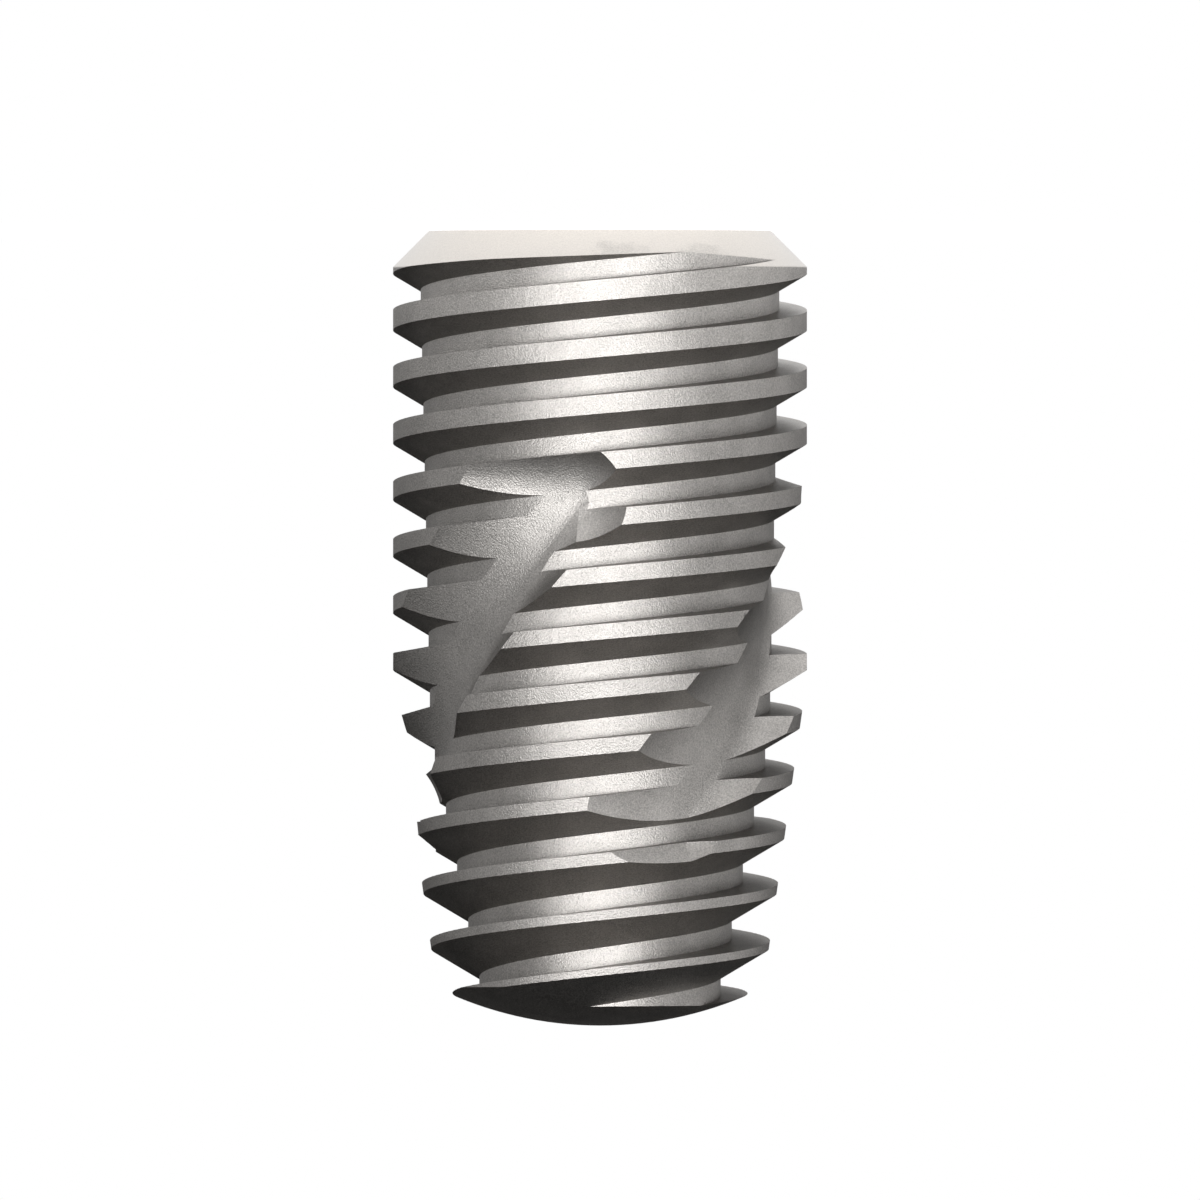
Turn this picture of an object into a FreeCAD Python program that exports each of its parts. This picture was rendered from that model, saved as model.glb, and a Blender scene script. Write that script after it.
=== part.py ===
import FreeCAD, Part
import math
import os

# Dental implant body, turned from one titanium bar and threaded outside and inside.
# All sizes are millimetres and degrees. The implant stands on its flat platform face: the face is
# the floor plane z = 0, the axis is z and the rounded tip points up. Azimuths are counted
# counter-clockwise from the front (-Y), seen from above.

# Outer form
crest_diameter = 4.20
total_length = 8.06
platform_diameter = 3.47
collar_bevel_angle = 45.0
taper_start = 4.53
taper_angle = 8.0
tip_radius = 3.78

# Outer thread: two starts, right-handed, a buttress with its steep flank towards the head
starts = 2
thread_spacing = 0.581
thread_lead = starts * thread_spacing
root_flat = 0.19
steep_flank_angle = 3.0
slanted_flank_angle = 30.3
root_radius_at_head = 1.832
root_taper_angle = 1.3
core_taper_start = 5.03
core_taper_angle = 11.0
side_azimuth = 90.0
groove_height_at_side = 0.598
runout_end = 35.0
runout_start = -105.0
runout_rise_per_degree = 0.00213

# Cutting flutes: three, each a shallow valley along a long helix, with the run-in and the
# run-out of the small wheel that mills it. One side is flat, the other is a shallow curve.
flutes = 3
wheel_radius = 0.72
flute_low = 2.759
flute_high = 5.994
flute_azimuth_low = -113.5
flute_azimuth_high = -31.9
valley_radius_low = 1.751
valley_radius_high = 1.609
flat_side_angle = 3.5
flat_side_width = 1.6
curved_side_radius = 0.60
curved_side_angle = 8.2
curved_side_width = 0.66
curved_side_angle_at_tip = 30.0
curved_side_width_at_tip = 0.50
sweep_overcut = 0.004

# Connection for the abutment, cut into the platform
mouth_diameter = 3.00
seat_diameter = 2.85
seat_depth = 0.45
hexagon_across_flats = 2.42
hexagon_depth = 1.75
screw_hole_diameter = 1.55
screw_hole_depth = 4.70
relief_diameter = 1.95
relief_depth = 2.15
drill_tip_angle = 118.0

# Clearances that let a cutter pass clear of the body
overshoot = 0.15
seam_azimuth = 17.0
match_tolerance = 0.00001
station_step = 20.0

crest_radius = crest_diameter / 2
platform_radius = platform_diameter / 2


def point_at(radius, azimuth, height, sideways=0.0):
    angle = math.radians(azimuth)
    x = radius * math.sin(angle) + sideways * math.cos(angle)
    y = -radius * math.cos(angle) + sideways * math.sin(angle)
    return FreeCAD.Vector(x, y, height)


def tan(angle):
    return math.tan(math.radians(angle))


def spline_edge(points):
    curve = Part.BSplineCurve()
    steps = [float(i) for i in range(len(points))]
    curve.interpolate(Points=points, Parameters=steps)
    return curve.toShape()


# A cutter is a floor that shapes the metal and a roof clear of it, both given as rows of points,
# one row for each station along the path. Breaks are the stations where a curve has a corner.
def cutter_solid(floor, roof, breaks=()):
    faces = []
    stops = [0] + list(breaks) + [len(floor) - 1]
    width = len(floor[0])
    for first, last in zip(stops, stops[1:]):
        low = [spline_edge([row[j] for row in floor[first:last + 1]]) for j in range(width)]
        high = [spline_edge([row[j] for row in roof[first:last + 1]]) for j in range(width)]
        for j in range(width - 1):
            faces.append(Part.makeRuledSurface(low[j], low[j + 1]))
            faces.append(Part.makeRuledSurface(high[j], high[j + 1]))
        faces.append(Part.makeRuledSurface(low[0], high[0]))
        faces.append(Part.makeRuledSurface(low[-1], high[-1]))
    for low_row, high_row in ((floor[0], roof[0]), (floor[-1], roof[-1])):
        for j in range(width - 1):
            near = Part.makeLine(low_row[j], high_row[j])
            far = Part.makeLine(low_row[j + 1], high_row[j + 1])
            faces.append(Part.makeRuledSurface(near, far))
    shell = Part.makeShell(faces)
    shell.sewShape()
    solid = Part.makeSolid(shell)
    if solid.Volume < 0:
        solid.reverse()
    return solid


def blank():
    bevel_height = (crest_radius - platform_radius) / tan(collar_bevel_angle)
    centre = total_length - tip_radius
    slope = tan(taper_angle)
    reach = crest_radius - slope * (centre - taper_start)
    squares = 1 + slope ** 2
    rise = (reach * slope + math.sqrt(squares * tip_radius ** 2 - reach ** 2)) / squares
    shoulder = FreeCAD.Vector(reach - slope * rise, 0, centre + rise)
    half_angle = math.asin(shoulder.x / tip_radius) / 2
    middle = FreeCAD.Vector(
        tip_radius * math.sin(half_angle), 0, centre + tip_radius * math.cos(half_angle))
    summit = FreeCAD.Vector(0, 0, total_length)
    tip = Part.Arc(shoulder, middle, summit).toShape()
    outline = [
        (0, total_length),
        (0, 0),
        (platform_radius, 0),
        (crest_radius, bevel_height),
        (crest_radius, taper_start),
        (shoulder.x, shoulder.z),
    ]
    rest = Part.makePolygon([FreeCAD.Vector(r, 0, z) for r, z in outline])
    face = Part.Face(Part.Wire(rest.Edges + [tip]))
    body = face.revolve(FreeCAD.Vector(0, 0, 0), FreeCAD.Vector(0, 0, 1), 360)
    body.rotate(FreeCAD.Vector(0, 0, 0), FreeCAD.Vector(0, 0, 1), seam_azimuth)
    return body


def root_radius(azimuth, height):
    upper = root_radius_at_head - height * tan(root_taper_angle)
    if height > core_taper_start:
        upper -= (height - core_taper_start) * (tan(core_taper_angle) - tan(root_taper_angle))
    if azimuth < runout_end:
        upper += (runout_end - azimuth) * runout_rise_per_degree
    return upper


def groove_height(azimuth):
    return groove_height_at_side + thread_lead * (azimuth - side_azimuth) / 360


def thread_groove(turned):
    kink = side_azimuth + 360 * (core_taper_start - groove_height_at_side) / thread_lead
    finish = side_azimuth + 360 * (total_length + 0.3 - groove_height_at_side) / thread_lead
    azimuths = []
    breaks = []
    for begin, end in ((runout_start, runout_end), (runout_end, kink), (kink, finish)):
        steps = math.ceil((end - begin) / station_step)
        azimuths += [begin + (end - begin) * i / steps for i in range(steps)]
        breaks.append(len(azimuths))
    azimuths.append(finish)
    floor = []
    roof = []
    clear = crest_radius + overshoot
    for azimuth in azimuths:
        height = groove_height(azimuth)
        root = root_radius(azimuth, height)
        depth = clear - root
        top = height + root_flat
        floor.append([
            point_at(root, azimuth + turned, height),
            point_at(root, azimuth + turned, top),
        ])
        roof.append([
            point_at(clear, azimuth + turned, height - depth * tan(slanted_flank_angle)),
            point_at(clear, azimuth + turned, top + depth * tan(steep_flank_angle)),
        ])
    return cutter_solid(floor, roof, breaks[:-1])


def curved_side(across, angle):
    return across * tan(angle) + across ** 2 / (2 * curved_side_radius)


def flute_sweep(turned):
    floor = []
    roof = []
    stations = 13
    columns = 6
    for i in range(stations):
        share = i / (stations - 1)
        height = flute_low + share * (flute_high - flute_low)
        azimuth = flute_azimuth_low + share * (flute_azimuth_high - flute_azimuth_low) + turned
        valley = valley_radius_low + share * (valley_radius_high - valley_radius_low) - sweep_overcut
        clear = valley + wheel_radius
        flat = valley - flat_side_width * tan(flat_side_angle)
        low_row = [point_at(flat, azimuth, height, flat_side_width)]
        high_row = [point_at(clear, azimuth, height, flat_side_width)]
        for j in range(columns):
            across = curved_side_width * j / (columns - 1)
            low = valley + curved_side(across, curved_side_angle)
            low_row.append(point_at(low, azimuth, height, -across))
            high_row.append(point_at(clear, azimuth, height, -across))
        floor.append(low_row)
        roof.append(high_row)
    return cutter_solid(floor, roof)


def flute_wheel(azimuth, height, valley, side_angle, side_width):
    vector = FreeCAD.Vector
    side = []
    for j in range(5):
        across = side_width * j / 4
        side.append(vector(-across, wheel_radius - curved_side(across, side_angle), 0))
    rest = Part.makePolygon([
        side[-1],
        vector(-side_width, 0, 0),
        vector(flat_side_width, 0, 0),
        vector(flat_side_width, wheel_radius + flat_side_width * tan(flat_side_angle), 0),
        side[0],
    ])
    face = Part.Face(Part.Wire([spline_edge(side)] + rest.Edges))
    wheel = face.revolve(vector(0, 0, 0), vector(1, 0, 0), 360)
    wheel.rotate(vector(0, 0, 0), vector(0, 0, 1), azimuth)
    wheel.translate(point_at(valley + wheel_radius, azimuth, height))
    return wheel


def flute_cutters(turned):
    low = flute_wheel(
        flute_azimuth_low + turned, flute_low, valley_radius_low,
        curved_side_angle, curved_side_width)
    high = flute_wheel(
        flute_azimuth_high + turned, flute_high, valley_radius_high,
        curved_side_angle_at_tip, curved_side_width_at_tip)
    return [flute_sweep(turned), low, high]


def hexagon(across_flats, depth):
    corner = across_flats / 2 / math.cos(math.pi / 6)
    points = [point_at(corner, 60 * i, 0) for i in range(7)]
    return Part.Face(Part.makePolygon(points)).extrude(FreeCAD.Vector(0, 0, depth))


def connection():
    mouth = mouth_diameter / 2
    seat = seat_diameter / 2
    hole = screw_hole_diameter / 2
    relief = relief_diameter / 2
    lead_in = mouth - seat
    tip = hole / tan(drill_tip_angle / 2)
    ease = relief - hole
    outline = [
        (0, -overshoot),
        (mouth + overshoot, -overshoot),
        (seat, lead_in),
        (seat, seat_depth),
        (relief, seat_depth),
        (relief, relief_depth),
        (hole, relief_depth + ease),
        (hole, screw_hole_depth),
        (0, screw_hole_depth + tip),
        (0, -overshoot),
    ]
    face = Part.Face(Part.makePolygon([FreeCAD.Vector(r, 0, z) for r, z in outline]))
    turned = face.revolve(FreeCAD.Vector(0, 0, 0), FreeCAD.Vector(0, 0, 1), 360)
    return turned.fuse(hexagon(hexagon_across_flats, hexagon_depth))


def implant():
    body = blank()
    for start in range(starts):
        body = body.cut([thread_groove(360 / starts * start)], match_tolerance)
    for i in range(flutes):
        for cutter in flute_cutters(360 / flutes * i):
            body = body.cut([cutter], match_tolerance)
    return body.cut([connection()], match_tolerance)


def main():
    os.makedirs("parts", exist_ok=True)
    solid = implant().Solids[0]
    solid.exportStep("parts/implant_body.step")


main()
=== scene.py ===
"""Looks of a screw-type dental implant that stands on its platform face, apex upwards."""

import math

import bmesh
import bpy
from mathutils import Matrix, Vector


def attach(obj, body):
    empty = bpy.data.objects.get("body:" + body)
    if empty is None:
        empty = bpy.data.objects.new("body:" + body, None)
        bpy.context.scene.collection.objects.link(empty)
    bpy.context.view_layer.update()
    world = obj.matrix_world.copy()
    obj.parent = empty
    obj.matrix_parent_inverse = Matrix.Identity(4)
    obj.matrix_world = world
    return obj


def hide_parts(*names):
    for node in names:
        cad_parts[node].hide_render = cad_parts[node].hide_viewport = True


bl_info = {
    "name": "Dental implant",
    "version": (1, 0, 0),
    "blender": (4, 5, 0),
    "location": "3D View > Sidebar > Implant",
    "description": "Builds a threaded dental implant in blasted titanium, with a white studio stage",
    "category": "Object",
}

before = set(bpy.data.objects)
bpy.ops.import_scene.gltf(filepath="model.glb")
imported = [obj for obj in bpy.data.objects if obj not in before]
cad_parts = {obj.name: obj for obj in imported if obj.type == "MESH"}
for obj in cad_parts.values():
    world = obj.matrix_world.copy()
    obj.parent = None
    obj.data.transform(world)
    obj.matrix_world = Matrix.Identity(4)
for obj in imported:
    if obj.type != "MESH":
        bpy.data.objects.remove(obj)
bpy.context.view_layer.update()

MM = 0.001
CLEARANCE = 0.15 * MM
MERGE_DISTANCE = 0.001 * MM
# Nearly all values of a noise texture lie between these two.
NOISE_LIMITS = (0.3, 0.7)


def length(name, description, millimetres):
    """A property that holds a length, given in millimetres."""
    return bpy.props.FloatProperty(
        name=name,
        description=description,
        subtype="DISTANCE",
        unit="LENGTH",
        precision=6,
        default=millimetres * MM,
    )


def angle(name, description, degrees):
    """A property that holds an angle, given in degrees."""
    return bpy.props.FloatProperty(
        name=name,
        description=description,
        subtype="ANGLE",
        unit="ROTATION",
        default=math.radians(degrees),
    )


def number(name, description, default, least=1):
    """A property that holds a whole number."""
    return bpy.props.IntProperty(name=name, description=description, default=default, min=least)


def fraction(name, description, default):
    """A property that holds a number from 0 to 1."""
    return bpy.props.FloatProperty(
        name=name,
        description=description,
        subtype="FACTOR",
        min=0.0,
        max=1.0,
        default=default,
    )


def tint(name, description, default):
    """A property that holds a colour."""
    return bpy.props.FloatVectorProperty(
        name=name,
        description=description,
        subtype="COLOR",
        size=3,
        min=0.0,
        max=1.0,
        default=default,
    )


class BodySizes(bpy.types.PropertyGroup):
    """Turned outer form of the implant. Heights count from the platform face."""

    crest_diameter: length("Crest diameter", "Diameter over the thread crests", 4.20)
    total_length: length("Total length", "From the platform face to the tip", 8.06)
    platform_diameter: length("Platform diameter", "Diameter of the flat face at the head", 3.47)
    collar_bevel: angle("Collar bevel", "Angle of the bevel under the platform", 45.0)
    taper_start: length("Taper start", "Height at which the outer form starts to taper", 4.53)
    taper: angle("Taper", "Angle between the tapered flank and the axis", 8.0)
    tip_radius: length("Tip radius", "Radius of the domed tip", 3.78)
    segments: number("Segments", "Flat steps in one turn of the body and its thread", 96, 24)


class ThreadSizes(bpy.types.PropertyGroup):
    """Outer thread: two starts, right-handed, with its steep flank towards the head."""

    starts: number("Starts", "Number of grooves that run side by side", 2)
    spacing: length("Spacing", "Distance from one crest to the next", 0.581)
    root_flat: length("Root flat", "Width of the groove's bottom", 0.19)
    steep_flank: angle("Steep flank", "Angle of the flank that faces the head", 3.0)
    slanted_flank: angle("Slanted flank", "Angle of the flank that faces the tip", 30.3)
    root_radius: length("Root radius", "Radius of the core at the platform face", 1.832)
    root_taper: angle("Root taper", "Taper of the core", 1.3)
    core_taper_start: length("Core taper start", "Height at which the core tapers more", 5.03)
    core_taper: angle("Core taper", "Taper of the core near the tip", 11.0)
    height_at_side: length("Height at side", "Height of the groove at its first crossing of +X", 0.598)
    runout_start: angle("Run-out start", "Azimuth at which the groove leaves the collar", -105.0)
    runout_end: angle("Run-out end", "Azimuth at which the groove has its full depth", 35.0)
    runout_rise: length("Run-out rise", "How much shallower the groove is at its start", 0.298)


class FluteSizes(bpy.types.PropertyGroup):
    """Cutting flutes: shallow helical valleys with the run-in and run-out of their small wheel."""

    count: number("Count", "Number of flutes round the body", 3)
    wheel_radius: length("Wheel radius", "Radius of the wheel that mills a flute", 0.72)
    low: length("Low end", "Height of the wheel at the flute's low end", 2.759)
    high: length("High end", "Height of the wheel at the flute's high end", 5.994)
    azimuth_low: angle("Azimuth at low end", "Where the low end stands round the axis", -113.5)
    azimuth_high: angle("Azimuth at high end", "Where the high end stands round the axis", -31.9)
    valley_low: length("Valley at low end", "Radius of the valley's line at the low end", 1.751)
    valley_high: length("Valley at high end", "Radius of the valley's line at the high end", 1.609)
    flat_side: angle("Flat side", "Slope of the flat side", 3.5)
    flat_width: length("Flat width", "Width of the flat side", 1.60)
    curve_radius: length("Curve radius", "Radius of the curved side", 0.60)
    curved_side: angle("Curved side", "Slope at which the curved side starts", 8.2)
    curved_width: length("Curved width", "Width of the curved side", 0.66)
    curved_side_at_tip: angle("Curved side at tip", "The same slope at the high end", 30.0)
    curved_width_at_tip: length("Curved width at tip", "The same width at the high end", 0.50)
    overcut: length("Overcut", "How much deeper the sweep cuts than the wheel at its ends", 0.004)


class SocketSizes(bpy.types.PropertyGroup):
    """Connection for the abutment, cut into the platform."""

    mouth_diameter: length("Mouth diameter", "Diameter at the platform face", 3.00)
    seat_diameter: length("Seat diameter", "Diameter of the round seat", 2.85)
    seat_depth: length("Seat depth", "Depth of the round seat", 0.45)
    across_flats: length("Across flats", "Width of the hexagon", 2.42)
    hexagon_depth: length("Hexagon depth", "Depth of the hexagon", 1.75)
    relief_diameter: length("Relief diameter", "Diameter of the undercut below the hexagon", 1.95)
    relief_depth: length("Relief depth", "Depth of the undercut", 2.15)
    hole_diameter: length("Hole diameter", "Inner diameter of the screw thread", 1.55)
    hole_depth: length("Hole depth", "Depth of the screw hole", 4.70)
    drill_tip: angle("Drill tip", "Full angle of the hole's bottom", 118.0)
    screw_diameter: length("Screw diameter", "Outer diameter of the screw thread", 1.85)
    screw_pitch: length("Screw pitch", "Pitch of the screw thread", 0.30)
    screw_depth: length("Screw depth", "Depth at which the screw thread ends", 4.25)


class FinishColours(bpy.types.PropertyGroup):
    """Colours and grain of the titanium."""

    blasted: tint("Blasted titanium", "Colour of the grit-blasted surface", (0.50, 0.48, 0.46))
    turned: tint("Turned titanium", "Colour of collar, platform and socket", (0.74, 0.705, 0.665))
    contrast: fraction("Contrast", "How far the blasted colour swings from light to dark", 0.34)
    grain: length("Grain size", "Width of one pit of the blasted surface", 0.016)
    pit_depth: length("Pit depth", "Depth of one pit of the blasted surface", 0.006)
    smoothest: fraction("Smoothest", "Least roughness of the blasted surface", 0.36)
    roughest: fraction("Roughest", "Greatest roughness of the blasted surface", 0.46)
    turned_roughness: fraction("Turned roughness", "Roughness of the turned surface", 0.30)


class StageSettings(bpy.types.PropertyGroup):
    """Camera, floor and light."""

    picture_width: length("Picture width", "Width of what the camera sees", 12.171)
    picture_centre: length("Picture centre", "Height of the picture's middle over the floor", 3.743)
    camera_elevation: angle("Camera elevation", "Angle at which the camera looks down", 0.4)
    camera_distance: length("Camera distance", "From the implant's axis to the camera", 500.0)
    floor_size: length("Floor size", "Side of the square floor", 1200.0)
    floor_fade_start: length("Fade start", "Distance at which the floor starts to turn white", 4.0)
    floor_fade_end: length("Fade end", "Distance from which the floor is plain white", 14.0)
    lamp_distance: length("Lamp distance", "How far the lamp stands in front of the axis", 60.0)
    lamp_aside: length("Lamp aside", "How far the lamp stands towards +X", 2.0)
    lamp_height: length("Lamp height", "Height of the lamp's middle over the floor", 7.0)
    lamp_aim: length("Lamp aim", "Height of the point on the axis that the lamp faces", 4.0)
    lamp_width: length("Lamp width", "Width of the lamp's face", 86.0)
    lamp_rise: length("Lamp rise", "Upright size of the lamp's face", 22.0)
    lamp_power: bpy.props.FloatProperty(
        name="Lamp power",
        description="Power of the lamp in watts",
        precision=4,
        default=0.0305,
    )


def add_node(tree, kind, place, **values):
    """A node of that kind with its values set by name."""
    node = tree.nodes.new(kind)
    node.location = place
    for name, value in values.items():
        setattr(node, name, value)
    return node


def noise(tree, place, grain, detail, spot):
    """A three-dimensional noise with grains of that size, on the piece's own coordinates."""
    node = add_node(tree, "ShaderNodeTexNoise", spot)
    node.inputs["Scale"].default_value = 1.0 / grain
    node.inputs["Detail"].default_value = detail
    tree.links.new(place, node.inputs["Vector"])
    return node.outputs["Fac"]


def spread(tree, value, limits, results, spot):
    """The value, taken from one range to another and held at its ends."""
    node = add_node(tree, "ShaderNodeMapRange", spot)
    node.inputs["From Min"].default_value, node.inputs["From Max"].default_value = limits
    node.inputs["To Min"].default_value, node.inputs["To Max"].default_value = results
    tree.links.new(value, node.inputs["Value"])
    return node.outputs["Result"]


def reckon(tree, operation, first, second, spot):
    """One step of arithmetic on two values, each a number or another node's result."""
    node = add_node(tree, "ShaderNodeMath", spot, operation=operation)
    for value, socket in zip((first, second), node.inputs):
        if isinstance(value, (int, float)):
            socket.default_value = value
        else:
            tree.links.new(value, socket)
    return node.outputs["Value"]


def reckon_vector(tree, operation, first, second, spot):
    """One step of arithmetic on two vectors, the first of them another node's result."""
    node = add_node(tree, "ShaderNodeVectorMath", spot, operation=operation)
    tree.links.new(first, node.inputs[0])
    node.inputs[1].default_value = second
    return node.outputs[0]


def size_of(tree, vector, spot):
    """The length of a vector."""
    node = add_node(tree, "ShaderNodeVectorMath", spot, operation="LENGTH")
    tree.links.new(vector, node.inputs[0])
    return node.outputs["Value"]


def shade(tree, factor, dark, light, spot):
    """A colour between two, by the factor."""
    node = add_node(tree, "ShaderNodeMix", spot, data_type="RGBA")
    for colour, socket in ((dark, node.inputs["A"]), (light, node.inputs["B"])):
        if isinstance(colour, bpy.types.NodeSocket):
            tree.links.new(colour, socket)
        else:
            socket.default_value = (*colour, 1.0)
    tree.links.new(factor, node.inputs["Factor"])
    return node.outputs["Result"]


def mix_shaders(tree, factor, first, second, spot):
    """A mix of two shaders, by the factor."""
    node = add_node(tree, "ShaderNodeMixShader", spot)
    tree.links.new(factor, node.inputs["Fac"])
    tree.links.new(first.outputs[0], node.inputs[1])
    tree.links.new(second.outputs[0], node.inputs[2])
    return node


def blasted_clouds(tree, place, sizes):
    """Two soft clouds where the blast has reached up over the bevel, next to the thread's end."""
    ragged_size = 0.10 * MM
    raggedness = 0.13 * MM
    core = 0.14 * MM
    edge = 0.34 * MM
    strength = 0.42
    flattening = (1.0, 1.0, 3.0)
    ragged = noise(tree, place, ragged_size, 5.0, (-3100, 700))
    shift = spread(tree, ragged, NOISE_LIMITS, (-raggedness, raggedness), (-2900, 700))
    clouds = []
    for azimuth, height in ((-5.5, 0.205 * MM), (-33.0, 0.235 * MM)):
        radius = sizes.platform_diameter / 2 + height
        centre = point_at(radius, math.radians(azimuth), height)
        apart = reckon_vector(tree, "SUBTRACT", place, centre, (-2900, 500))
        flattened = reckon_vector(tree, "MULTIPLY", apart, flattening, (-2700, 500))
        distance = size_of(tree, flattened, (-2500, 500))
        reach = reckon(tree, "ADD", distance, shift, (-2300, 500))
        clouds.append(spread(tree, reach, (core, edge), (strength, 0.0), (-2100, 500)))
    return reckon(tree, "MAXIMUM", clouds[0], clouds[1], (-1900, 500))


def turned_places(tree, place, sizes, socket):
    """1 where the metal keeps its turned finish: on the bevel, the platform and in the socket."""
    hair = 0.004 * MM
    lip_clearance = 0.10 * MM
    lip_fade = 0.04 * MM
    narrowing_share = 0.1
    split = add_node(tree, "ShaderNodeSeparateXYZ", (-3100, 0))
    tree.links.new(place, split.inputs[0])
    height = split.outputs["Z"]
    across = reckon_vector(tree, "MULTIPLY", place, (1.0, 1.0, 0.0), (-2900, 200))
    radius = size_of(tree, across, (-2700, 200))

    # On the bevel, the radius less the slant is the platform's own radius.
    slant = reckon(tree, "MULTIPLY", height, math.tan(sizes.collar_bevel), (-2500, 300))
    outside = reckon(tree, "SUBTRACT", radius, slant, (-2300, 300))
    platform = sizes.platform_diameter / 2
    bevel_limits = (platform - 2 * hair, platform - hair)
    on_bevel = spread(tree, outside, bevel_limits, (0.0, 1.0), (-2100, 300))
    cloud = blasted_clouds(tree, place, sizes)
    bevel = reckon(tree, "SUBTRACT", on_bevel, cloud, (-1700, 200))

    face = spread(tree, height, (0.5 * hair, hair), (1.0, 0.0), (-2300, -250))
    # The limit narrows with depth, to stay between the socket and the roots of the thread.
    narrowing = reckon(tree, "MULTIPLY", height, narrowing_share, (-2500, -450))
    limit = reckon(tree, "ADD", radius, narrowing, (-2300, -450))
    lip = socket.mouth_diameter / 2 + lip_clearance
    inner = spread(tree, limit, (lip, lip + lip_fade), (1.0, 0.0), (-2100, -450))
    bottom = socket.hole_depth
    deep = spread(tree, height, (bottom, 1.2 * bottom), (1.0, 0.0), (-2300, -650))
    inside = reckon(tree, "MULTIPLY", inner, deep, (-1900, -450))
    rest = reckon(tree, "MAXIMUM", face, inside, (-1700, -300))
    return reckon(tree, "MAXIMUM", bevel, rest, (-1500, 200))


def blasted_titanium(colours, sizes, socket):
    """Grit-blasted titanium, left bright and finely turned on the collar and in the socket."""
    patch_size = 0.35 * MM
    fine_part = 0.75
    turned_variation = 0.12
    bump_strength = 0.8
    material = bpy.data.materials.new("blasted_titanium")
    material.use_nodes = True
    tree = material.node_tree
    shader = tree.nodes["Principled BSDF"]
    shader.inputs["Metallic"].default_value = 1.0
    place = add_node(tree, "ShaderNodeTexCoord", (-1700, 0)).outputs["Object"]
    pits = noise(tree, place, colours.grain, 2.0, (-1500, -100))
    patches = noise(tree, place, patch_size, 3.0, (-1500, -350))
    turned = turned_places(tree, place, sizes, socket)

    light = [min(1.0, (1 + colours.contrast) * c) for c in colours.blasted]
    dark = [(1 - colours.contrast) * c for c in colours.blasted]
    speckle = spread(tree, pits, NOISE_LIMITS, (0.0, 1.0), (-1250, -100))
    fine = spread(tree, pits, NOISE_LIMITS, (0.0, fine_part), (-1250, 150))
    coarse = spread(tree, patches, NOISE_LIMITS, (0.0, 1 - fine_part), (-1250, -350))
    tone = reckon(tree, "ADD", fine, coarse, (-1000, 0))
    blasted = shade(tree, tone, dark, light, (-750, 100))
    dull = [(1 - turned_variation) * c for c in colours.turned]
    metal = shade(tree, speckle, dull, colours.turned, (-750, 350))
    base = shade(tree, turned, blasted, metal, (-450, 200))
    tree.links.new(base, shader.inputs["Base Color"])

    roughness = (colours.smoothest, colours.roughest)
    blasted_gloss = spread(tree, pits, NOISE_LIMITS, roughness, (-750, -150))
    gloss = add_node(tree, "ShaderNodeMix", (-450, -50), data_type="FLOAT")
    tree.links.new(turned, gloss.inputs["Factor"])
    tree.links.new(blasted_gloss, gloss.inputs["A"])
    gloss.inputs["B"].default_value = colours.turned_roughness
    tree.links.new(gloss.outputs["Result"], shader.inputs["Roughness"])

    keep = reckon(tree, "SUBTRACT", 1.0, turned, (-450, -400))
    relief = reckon(tree, "MULTIPLY", pits, keep, (-300, -300))
    bump = add_node(tree, "ShaderNodeBump", (-150, -300))
    bump.inputs["Strength"].default_value = bump_strength
    bump.inputs["Distance"].default_value = colours.pit_depth
    tree.links.new(relief, bump.inputs["Height"])
    tree.links.new(bump.outputs["Normal"], shader.inputs["Normal"])
    return material


def point_at(radius, azimuth, height, sideways=0.0):
    """A place by its radius, its azimuth from the front (-Y) and its height."""
    outward = Vector((math.sin(azimuth), -math.cos(azimuth), 0.0))
    along = Vector((math.cos(azimuth), math.sin(azimuth), 0.0))
    return radius * outward + sideways * along + Vector((0.0, 0.0, height))


def take(piece):
    """Selects this piece alone and makes it the active one."""
    bpy.ops.object.select_all(action="DESELECT")
    piece.select_set(True)
    bpy.context.view_layer.objects.active = piece


def draw_outline(name, places):
    """A line of edges through the places, extruded from a single point. It stays in edit mode."""
    bpy.ops.object.select_all(action="DESELECT")
    bpy.ops.mesh.primitive_plane_add(size=MM)
    piece = bpy.context.active_object
    piece.name = name
    bpy.ops.object.mode_set(mode="EDIT")
    bpy.ops.mesh.merge(type="CENTER")
    bpy.ops.transform.translate(value=places[0])
    for last, place in zip(places, places[1:]):
        bpy.ops.mesh.extrude_region_move(TRANSFORM_OT_translate={"value": place - last})
    return piece


def close_up():
    """Joins the seams of the mesh in edit mode, and makes its faces flat and outward."""
    bpy.ops.mesh.select_all(action="SELECT")
    bpy.ops.mesh.remove_doubles(threshold=MERGE_DISTANCE)
    bpy.ops.mesh.normals_make_consistent(inside=False)
    bpy.ops.mesh.quads_convert_to_tris()
    bpy.ops.object.mode_set(mode="OBJECT")


def turn(name, places, centre, axis, segments):
    """A turned solid: an outline whose ends lie on the axis, spun once round it."""
    piece = draw_outline(name, places)
    bpy.ops.mesh.select_all(action="SELECT")
    bpy.ops.mesh.spin(steps=segments, angle=math.tau, center=centre, axis=axis)
    close_up()
    return piece


def sweep(name, sections):
    """A solid drawn through the sections: its end face is extruded and set on each in turn."""
    piece = draw_outline(name, sections[0])
    bpy.ops.mesh.select_all(action="SELECT")
    bpy.ops.mesh.edge_face_add()
    for section in sections[1:]:
        bpy.ops.mesh.extrude_region_move()
        mesh = bmesh.from_edit_mesh(piece.data)
        corners = mesh.verts[:][-len(section):]
        for corner, place in zip(corners, section):
            bpy.ops.mesh.select_all(action="DESELECT")
            corner.select_set(True)
            bpy.ops.transform.translate(value=place - corner.co)
        for corner in corners:
            corner.select_set(True)
        mesh.select_flush(True)
    close_up()
    return piece


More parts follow.
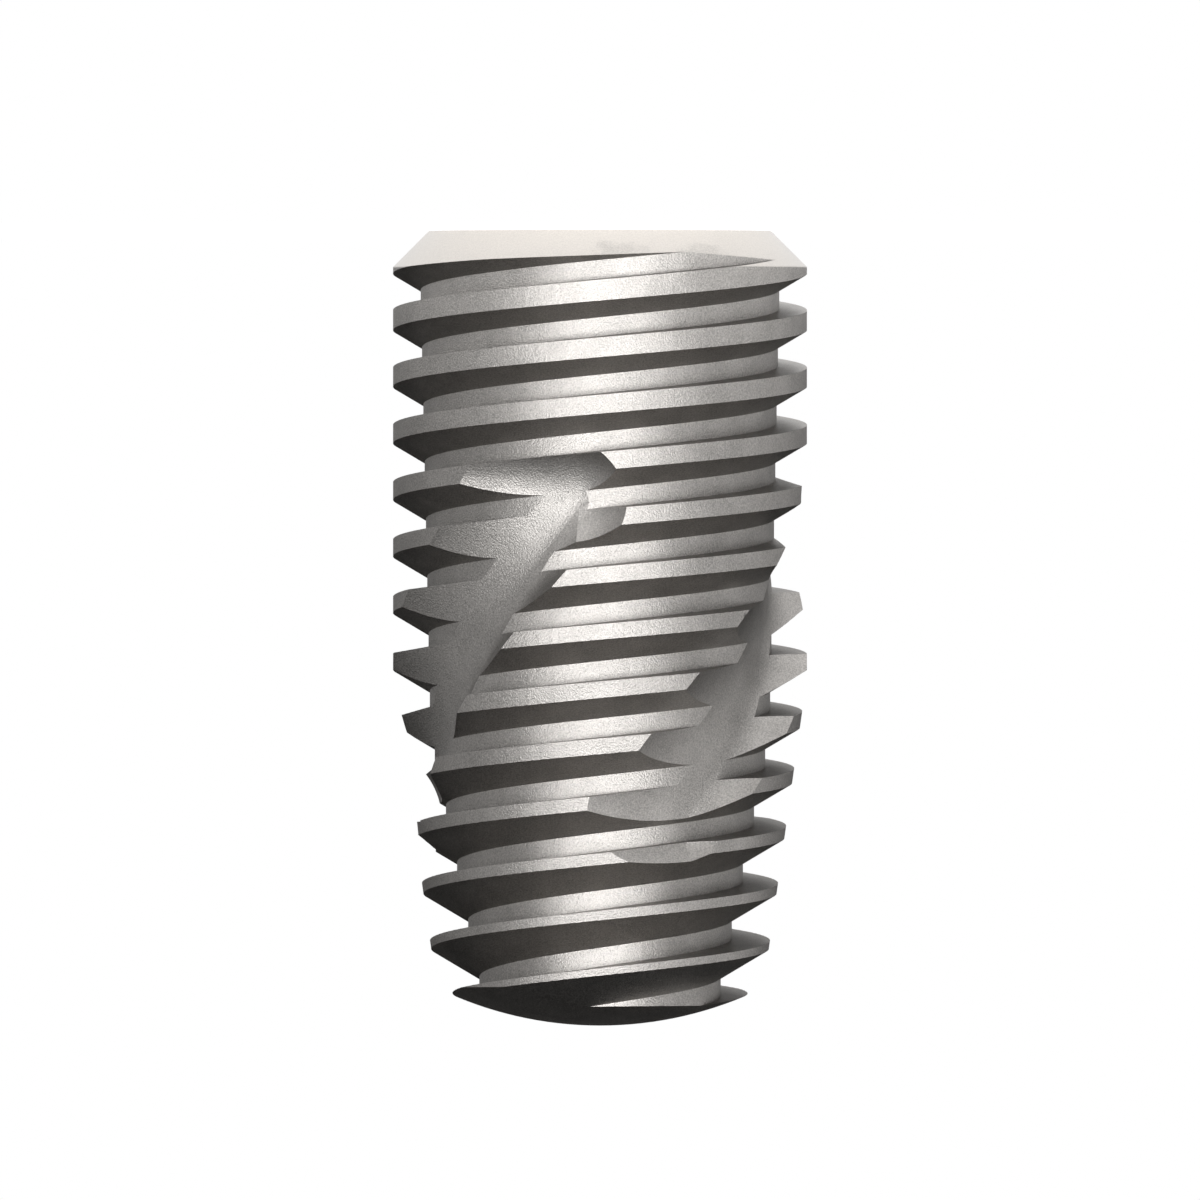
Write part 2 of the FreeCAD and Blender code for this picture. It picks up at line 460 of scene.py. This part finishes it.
def copy_turned(piece, turned):
    """A copy of the piece, turned about the implant's axis."""
    take(piece)
    bpy.ops.object.duplicate()
    twin = bpy.context.active_object
    twin.rotation_euler.z = turned
    bpy.ops.object.transform_apply(location=False, rotation=True, scale=False)
    return twin


def cut(body, cutter, count=1):
    """Cuts the body with that many copies of the cutter, spaced evenly round the axis."""
    tools = [cutter]
    for i in range(1, count):
        tools.append(copy_turned(cutter, math.tau * i / count))
    for tool in tools:
        take(body)
        bpy.ops.object.modifier_add(type="BOOLEAN")
        modifier = body.modifiers[-1]
        modifier.operation = "DIFFERENCE"
        modifier.solver = "MANIFOLD"
        modifier.object = tool
        bpy.ops.object.modifier_apply(modifier=modifier.name)
        bpy.data.objects.remove(tool)
    if not body.data.polygons:
        raise RuntimeError("a cutter took the whole body away")


def turned_blank(sizes):
    """The body before it is threaded: platform, bevelled collar, tapered flank and domed tip."""
    crest = sizes.crest_diameter / 2
    platform = sizes.platform_diameter / 2
    centre = sizes.total_length - sizes.tip_radius
    slope = math.tan(sizes.taper)
    reach = crest - slope * (centre - sizes.taper_start)
    squares = 1 + slope ** 2
    rise = reach * slope + math.sqrt(squares * sizes.tip_radius ** 2 - reach ** 2)
    shoulder = math.asin((reach - slope * rise / squares) / sizes.tip_radius)
    outline = [
        (0.0, 0.0),
        (platform, 0.0),
        (crest, (crest - platform) / math.tan(sizes.collar_bevel)),
        (crest, sizes.taper_start),
    ]
    rings = 16
    for i in range(rings + 1):
        lean = shoulder * (1 - i / rings)
        radius = sizes.tip_radius * math.sin(lean)
        outline.append((radius, centre + sizes.tip_radius * math.cos(lean)))
    places = [point_at(radius, math.pi / sizes.segments, height) for radius, height in outline]
    return turn("implant", places, (0, 0, 0), (0, 0, 1), sizes.segments)


def root_radius(thread, azimuth, height):
    """Radius of the core under the groove: tapered twice, and rising out of the collar."""
    root = thread.root_radius - height * math.tan(thread.root_taper)
    if height > thread.core_taper_start:
        extra = math.tan(thread.core_taper) - math.tan(thread.root_taper)
        root -= (height - thread.core_taper_start) * extra
    if azimuth < thread.runout_end:
        share = (thread.runout_end - azimuth) / (thread.runout_end - thread.runout_start)
        root += share * thread.runout_rise
    return root


def thread_groove(sizes, thread):
    """The buttress groove that one start of the thread cuts."""
    lead = thread.starts * thread.spacing
    step = math.tau / sizes.segments
    clear = sizes.crest_diameter / 2 + CLEARANCE
    side = math.pi / 2
    climb = sizes.total_length + 2 * CLEARANCE - thread.height_at_side
    finish = side + math.tau * climb / lead
    sections = []
    for i in range(math.ceil((finish - thread.runout_start) / step) + 1):
        azimuth = thread.runout_start + i * step
        low = thread.height_at_side + lead * (azimuth - side) / math.tau
        high = low + thread.root_flat
        root = root_radius(thread, azimuth, low)
        depth = clear - root
        sections.append([
            point_at(root, azimuth, low),
            point_at(root, azimuth, high),
            point_at(clear, azimuth, high + depth * math.tan(thread.steep_flank)),
            point_at(clear, azimuth, low - depth * math.tan(thread.slanted_flank)),
        ])
    return sweep("thread_groove", sections)


def rise_of_curve(flute, across, slope):
    """How high the curved side of a flute stands above the valley at that distance."""
    return across * math.tan(slope) + across ** 2 / (2 * flute.curve_radius)


def flute_sweep(flute):
    """The long helical stretch of a flute."""
    stations = 64
    columns = 18
    sections = []
    for i in range(stations + 1):
        share = i / stations
        height = flute.low + share * (flute.high - flute.low)
        azimuth = flute.azimuth_low + share * (flute.azimuth_high - flute.azimuth_low)
        valley = flute.valley_low + share * (flute.valley_high - flute.valley_low) - flute.overcut
        clear = valley + flute.wheel_radius
        section = []
        for j in range(columns):
            across = flute.flat_width * (1 - j / columns)
            fall = across * math.tan(flute.flat_side)
            section.append(point_at(valley - fall, azimuth, height, across))
        for j in range(columns + 1):
            across = flute.curved_width * j / columns
            rise = rise_of_curve(flute, across, flute.curved_side)
            section.append(point_at(valley + rise, azimuth, height, -across))
        section.append(point_at(clear, azimuth, height, -flute.curved_width))
        section.append(point_at(clear, azimuth, height, flute.flat_width))
        sections.append(section)
    return sweep("flute_sweep", sections)


def flute_wheel(flute, azimuth, height, valley, slope, width):
    """The wheel that mills a flute, where it enters or leaves the metal."""
    axis = point_at(0.0, azimuth, 0.0, 1.0)
    inward = point_at(-1.0, azimuth, 0.0)
    centre = point_at(valley + flute.wheel_radius, azimuth, height)
    columns = 16
    steps_a_turn = 96
    rim = [(-width, 0.0)]
    for j in range(columns + 1):
        across = width * (1 - j / columns)
        rim.append((-across, flute.wheel_radius - rise_of_curve(flute, across, slope)))
    flat_end = flute.wheel_radius + flute.flat_width * math.tan(flute.flat_side)
    rim.append((flute.flat_width, flat_end))
    rim.append((flute.flat_width, 0.0))
    places = [centre + x * axis + y * inward for x, y in rim]
    return turn("flute_wheel", places, centre, axis, steps_a_turn)


def socket_bore(sizes, socket):
    """The round stretches of the socket: mouth, seat, undercut and screw hole."""
    mouth = socket.mouth_diameter / 2
    seat = socket.seat_diameter / 2
    relief = socket.relief_diameter / 2
    hole = socket.hole_diameter / 2
    outline = [
        (0.0, -CLEARANCE),
        (mouth + CLEARANCE, -CLEARANCE),
        (seat, mouth - seat),
        (seat, socket.seat_depth),
        (relief, socket.seat_depth),
        (relief, socket.relief_depth),
        (hole, socket.relief_depth + relief - hole),
        (hole, socket.hole_depth),
        (0.0, socket.hole_depth + hole / math.tan(socket.drill_tip / 2)),
    ]
    places = [point_at(radius, 0.0, height) for radius, height in outline]
    return turn("socket_bore", places, (0, 0, 0), (0, 0, 1), sizes.segments)


def socket_hexagon(socket):
    """The six-sided stretch that keeps the abutment from turning."""
    start = socket.seat_depth / 2
    bpy.ops.object.select_all(action="DESELECT")
    bpy.ops.mesh.primitive_cylinder_add(
        vertices=6,
        radius=socket.across_flats / 2 / math.cos(math.pi / 6),
        depth=socket.hexagon_depth - start,
        location=(0.0, 0.0, (socket.hexagon_depth + start) / 2),
    )
    bpy.ops.object.transform_apply(location=True, rotation=False, scale=False)
    return bpy.context.active_object


def screw_thread(socket):
    """The groove of the fine thread that holds the abutment screw."""
    steps_a_turn = 48
    fading_turns = 0.25
    half_angle = math.radians(30)
    hole = socket.hole_diameter / 2
    inner = hole - CLEARANCE
    outer = socket.screw_diameter / 2
    start = socket.relief_depth
    steps = round((socket.screw_depth - start) / socket.screw_pitch * steps_a_turn)
    half_flat = socket.screw_pitch / 16
    sections = []
    for i in range(steps + 1):
        azimuth = math.tau * i / steps_a_turn
        height = start + socket.screw_pitch * i / steps_a_turn
        turns_left = (steps - i) / steps_a_turn
        faded = max(0.0, 1 - turns_left / fading_turns)
        crest = outer - faded * (outer - hole)
        half_width = half_flat + (crest - inner) * math.tan(half_angle)
        sections.append([
            point_at(inner, azimuth, height - half_width),
            point_at(crest, azimuth, height - half_flat),
            point_at(crest, azimuth, height + half_flat),
            point_at(inner, azimuth, height + half_width),
        ])
    return sweep("screw_thread", sections)


def drop_slivers(body):
    """Merges the corners that the cuts left almost in one place."""
    take(body)
    bpy.ops.object.mode_set(mode="EDIT")
    bpy.ops.mesh.select_all(action="SELECT")
    bpy.ops.mesh.remove_doubles(threshold=MERGE_DISTANCE)
    bpy.ops.mesh.dissolve_degenerate(threshold=MERGE_DISTANCE)
    bpy.ops.object.mode_set(mode="OBJECT")


def smooth(body):
    """Shades the faces smoothly up to the sharp edges, the large faces leading."""
    least_sharp_angle = math.radians(11)
    bpy.ops.object.shade_smooth_by_angle(angle=least_sharp_angle)
    bpy.ops.object.modifier_add(type="WEIGHTED_NORMAL")
    normals = body.modifiers[-1]
    normals.mode = "FACE_AREA"
    normals.weight = 50
    normals.keep_sharp = True
    bpy.ops.object.modifier_apply(modifier=normals.name)


class OBJECT_OT_implant_body(bpy.types.Operator):
    """Turns, threads, flutes and bores the body, and blasts it"""

    bl_idname = "object.implant_body"
    bl_label = "Implant body"

    def execute(self, context):
        if "implant_body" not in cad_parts:
            raise RuntimeError("the frame has no implant_body to stand for")
        sizes = context.scene.implant_body
        thread = context.scene.implant_thread
        flute = context.scene.implant_flutes
        socket = context.scene.implant_socket
        body = turned_blank(sizes)
        # The socket is cut first: on a body that has its grooves already, the solver doesn't end.
        cut(body, socket_bore(sizes, socket))
        cut(body, socket_hexagon(socket))
        cut(body, screw_thread(socket))
        cut(body, thread_groove(sizes, thread), thread.starts)
        cut(body, flute_sweep(flute), flute.count)
        low_wheel = flute_wheel(
            flute, flute.azimuth_low, flute.low, flute.valley_low,
            flute.curved_side, flute.curved_width)
        cut(body, low_wheel, flute.count)
        high_wheel = flute_wheel(
            flute, flute.azimuth_high, flute.high, flute.valley_high,
            flute.curved_side_at_tip, flute.curved_width_at_tip)
        cut(body, high_wheel, flute.count)
        drop_slivers(body)
        smooth(body)
        body.data.materials.clear()
        body.data.materials.append(blasted_titanium(context.scene.implant_colours, sizes, socket))
        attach(body, "root")
        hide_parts("implant_body")
        return {"FINISHED"}


def white_floor(settings):
    """A pale floor that shows the shadow near the implant and is plain white further out."""
    # The camera and a first reflection see the floor's own light, and later reflections don't, so
    # the bevel looks white and the thread's grooves stay dark.
    paint_level = 0.70
    glow_near = 0.90
    mirrored_glow_far = 0.3
    material = bpy.data.materials.new("white_floor")
    material.use_nodes = True
    tree = material.node_tree
    tree.nodes.remove(tree.nodes["Principled BSDF"])
    output = tree.nodes["Material Output"]
    path = add_node(tree, "ShaderNodeLightPath", (-1300, 0))
    by_camera = path.outputs["Is Camera Ray"]
    first = reckon(tree, "LESS_THAN", path.outputs["Glossy Depth"], 1.5, (-1100, -150))
    mirrored = reckon(tree, "MULTIPLY", path.outputs["Is Glossy Ray"], first, (-900, -100))
    seen = reckon(tree, "MAXIMUM", by_camera, mirrored, (-700, 0))

    paint = add_node(tree, "ShaderNodeBsdfDiffuse", (-300, 200))
    paint.inputs["Color"].default_value = (paint_level, paint_level, paint_level, 1.0)
    glow = add_node(tree, "ShaderNodeEmission", (-300, 0))
    near_strength = reckon(tree, "MULTIPLY", seen, glow_near, (-500, 0))
    tree.links.new(near_strength, glow.inputs["Strength"])
    near = add_node(tree, "ShaderNodeAddShader", (-100, 100))
    tree.links.new(paint.outputs[0], near.inputs[0])
    tree.links.new(glow.outputs[0], near.inputs[1])
    far = add_node(tree, "ShaderNodeEmission", (-300, -200))
    dimmed = reckon(tree, "MULTIPLY", mirrored, mirrored_glow_far, (-700, -200))
    far_strength = reckon(tree, "MAXIMUM", by_camera, dimmed, (-500, -200))
    tree.links.new(far_strength, far.inputs["Strength"])

    place = add_node(tree, "ShaderNodeTexCoord", (-1100, -400)).outputs["Object"]
    distance = size_of(tree, place, (-900, -400))
    limits = (settings.floor_fade_start, settings.floor_fade_end)
    fade = spread(tree, distance, limits, (0.0, 1.0), (-500, -400))
    mix = mix_shaders(tree, fade, near, far, (100, 0))
    tree.links.new(mix.outputs[0], output.inputs["Surface"])
    return material


def studio_world():
    """White behind the object for the camera, and a dim room with a dark ceiling for the light."""
    # The ceiling's dark comes down lower behind the implant than in front of it, as the black dome
    # and the lighter milled bowls of the photograph ask for.
    wall_levels = (0.76, 0.35)
    ceiling_limits = (0.42, 0.88)
    front_lean = 0.25
    back_lean = 0.85
    world = bpy.data.worlds.new("studio")
    bpy.context.scene.world = world
    world.use_nodes = True
    tree = world.node_tree
    tree.nodes.clear()
    output = add_node(tree, "ShaderNodeOutputWorld", (600, 0))
    place = add_node(tree, "ShaderNodeTexCoord", (-900, 0)).outputs["Generated"]
    split = add_node(tree, "ShaderNodeSeparateXYZ", (-700, 0))
    tree.links.new(place, split.inputs[0])
    walls = spread(tree, split.outputs["X"], (-1.0, 1.0), wall_levels, (-500, 200))
    front = reckon(tree, "MULTIPLY", split.outputs["Y"], front_lean, (-700, -200))
    back = reckon(tree, "MULTIPLY", split.outputs["Y"], back_lean, (-700, -400))
    lean = reckon(tree, "MAXIMUM", front, back, (-600, -300))
    height = reckon(tree, "ADD", split.outputs["Z"], lean, (-500, -200))
    ceiling = spread(tree, height, ceiling_limits, (1.0, 0.0), (-400, -100))
    level = reckon(tree, "MULTIPLY", walls, ceiling, (-250, 0))
    room = add_node(tree, "ShaderNodeBackground", (0, 100))
    room.inputs["Color"].default_value = (1.0, 1.0, 1.0, 1.0)
    tree.links.new(level, room.inputs["Strength"])
    white = add_node(tree, "ShaderNodeBackground", (0, -100))
    white.inputs["Color"].default_value = (1.0, 1.0, 1.0, 1.0)
    path = add_node(tree, "ShaderNodeLightPath", (0, 400))
    mix = mix_shaders(tree, path.outputs["Is Camera Ray"], room, white, (300, 0))
    tree.links.new(mix.outputs[0], output.inputs["Surface"])


def hang_softbox(settings):
    """One wide soft lamp in front of the implant."""
    centre = Vector((settings.lamp_aside, -settings.lamp_distance, settings.lamp_height))
    aim = Vector((0.0, 0.0, settings.lamp_aim)) - centre
    bpy.ops.object.light_add(type="AREA", location=centre)
    lamp = bpy.context.active_object
    lamp.name = "front_softbox"
    lamp.data.shape = "RECTANGLE"
    lamp.data.size = settings.lamp_width
    lamp.data.size_y = settings.lamp_rise
    lamp.data.energy = settings.lamp_power
    lamp.rotation_euler = aim.to_track_quat("-Z", "Y").to_euler()


def add_camera(settings):
    """A camera at the photograph's angle, rolled upside down as the photograph is."""
    bpy.ops.object.camera_add()
    camera = bpy.context.active_object
    camera.name = "camera"
    camera.data.type = "ORTHO"
    camera.data.ortho_scale = settings.picture_width
    camera.data.clip_start = 1.0 * MM
    camera.data.clip_end = 20 * settings.camera_distance
    right = Vector((-1.0, 0.0, 0.0))
    elevation = settings.camera_elevation
    look = Vector((0.0, math.cos(elevation), -math.sin(elevation)))
    up = right.cross(look)
    centre = Vector((0.0, 0.0, settings.picture_centre)) - settings.camera_distance * look
    axes = Matrix((right, up, -look)).transposed()
    camera.matrix_world = Matrix.Translation(centre) @ axes.to_4x4()
    bpy.context.scene.camera = camera


class OBJECT_OT_implant_stage(bpy.types.Operator):
    """Lays the floor, hangs the lamp and sets the camera"""

    bl_idname = "object.implant_stage"
    bl_label = "Stage"

    def execute(self, context):
        settings = context.scene.implant_stage
        bpy.ops.object.select_all(action="DESELECT")
        bpy.ops.mesh.primitive_plane_add(size=settings.floor_size)
        floor = context.active_object
        floor.name = "floor"
        floor.data.materials.append(white_floor(settings))
        studio_world()
        hang_softbox(settings)
        add_camera(settings)
        context.scene.view_settings.view_transform = "Standard"
        return {"FINISHED"}


class VIEW3D_PT_implant(bpy.types.Panel):
    """Sizes, colours and steps of the implant"""

    bl_label = "Dental implant"
    bl_space_type = "VIEW_3D"
    bl_region_type = "UI"
    bl_category = "Implant"

    def draw(self, context):
        for key in GROUPS:
            group = getattr(context.scene, key)
            box = self.layout.box()
            for name in group.bl_rna.properties.keys():
                if name not in ("rna_type", "name"):
                    box.prop(group, name)
        for operator in STEPS:
            self.layout.operator(operator)


STEPS = ("object.implant_body", "object.implant_stage")

GROUPS = {
    "implant_body": BodySizes,
    "implant_thread": ThreadSizes,
    "implant_flutes": FluteSizes,
    "implant_socket": SocketSizes,
    "implant_colours": FinishColours,
    "implant_stage": StageSettings,
}

CLASSES = (
    *GROUPS.values(),
    OBJECT_OT_implant_body,
    OBJECT_OT_implant_stage,
    VIEW3D_PT_implant,
)


def register():
    for cls in CLASSES:
        bpy.utils.register_class(cls)
    for key, group in GROUPS.items():
        setattr(bpy.types.Scene, key, bpy.props.PointerProperty(type=group))


def unregister():
    for key in GROUPS:
        delattr(bpy.types.Scene, key)
    for cls in reversed(CLASSES):
        bpy.utils.unregister_class(cls)


def main():
    register()
    bpy.ops.object.implant_body()
    bpy.ops.object.implant_stage()


if __name__ == "__main__":
    main()
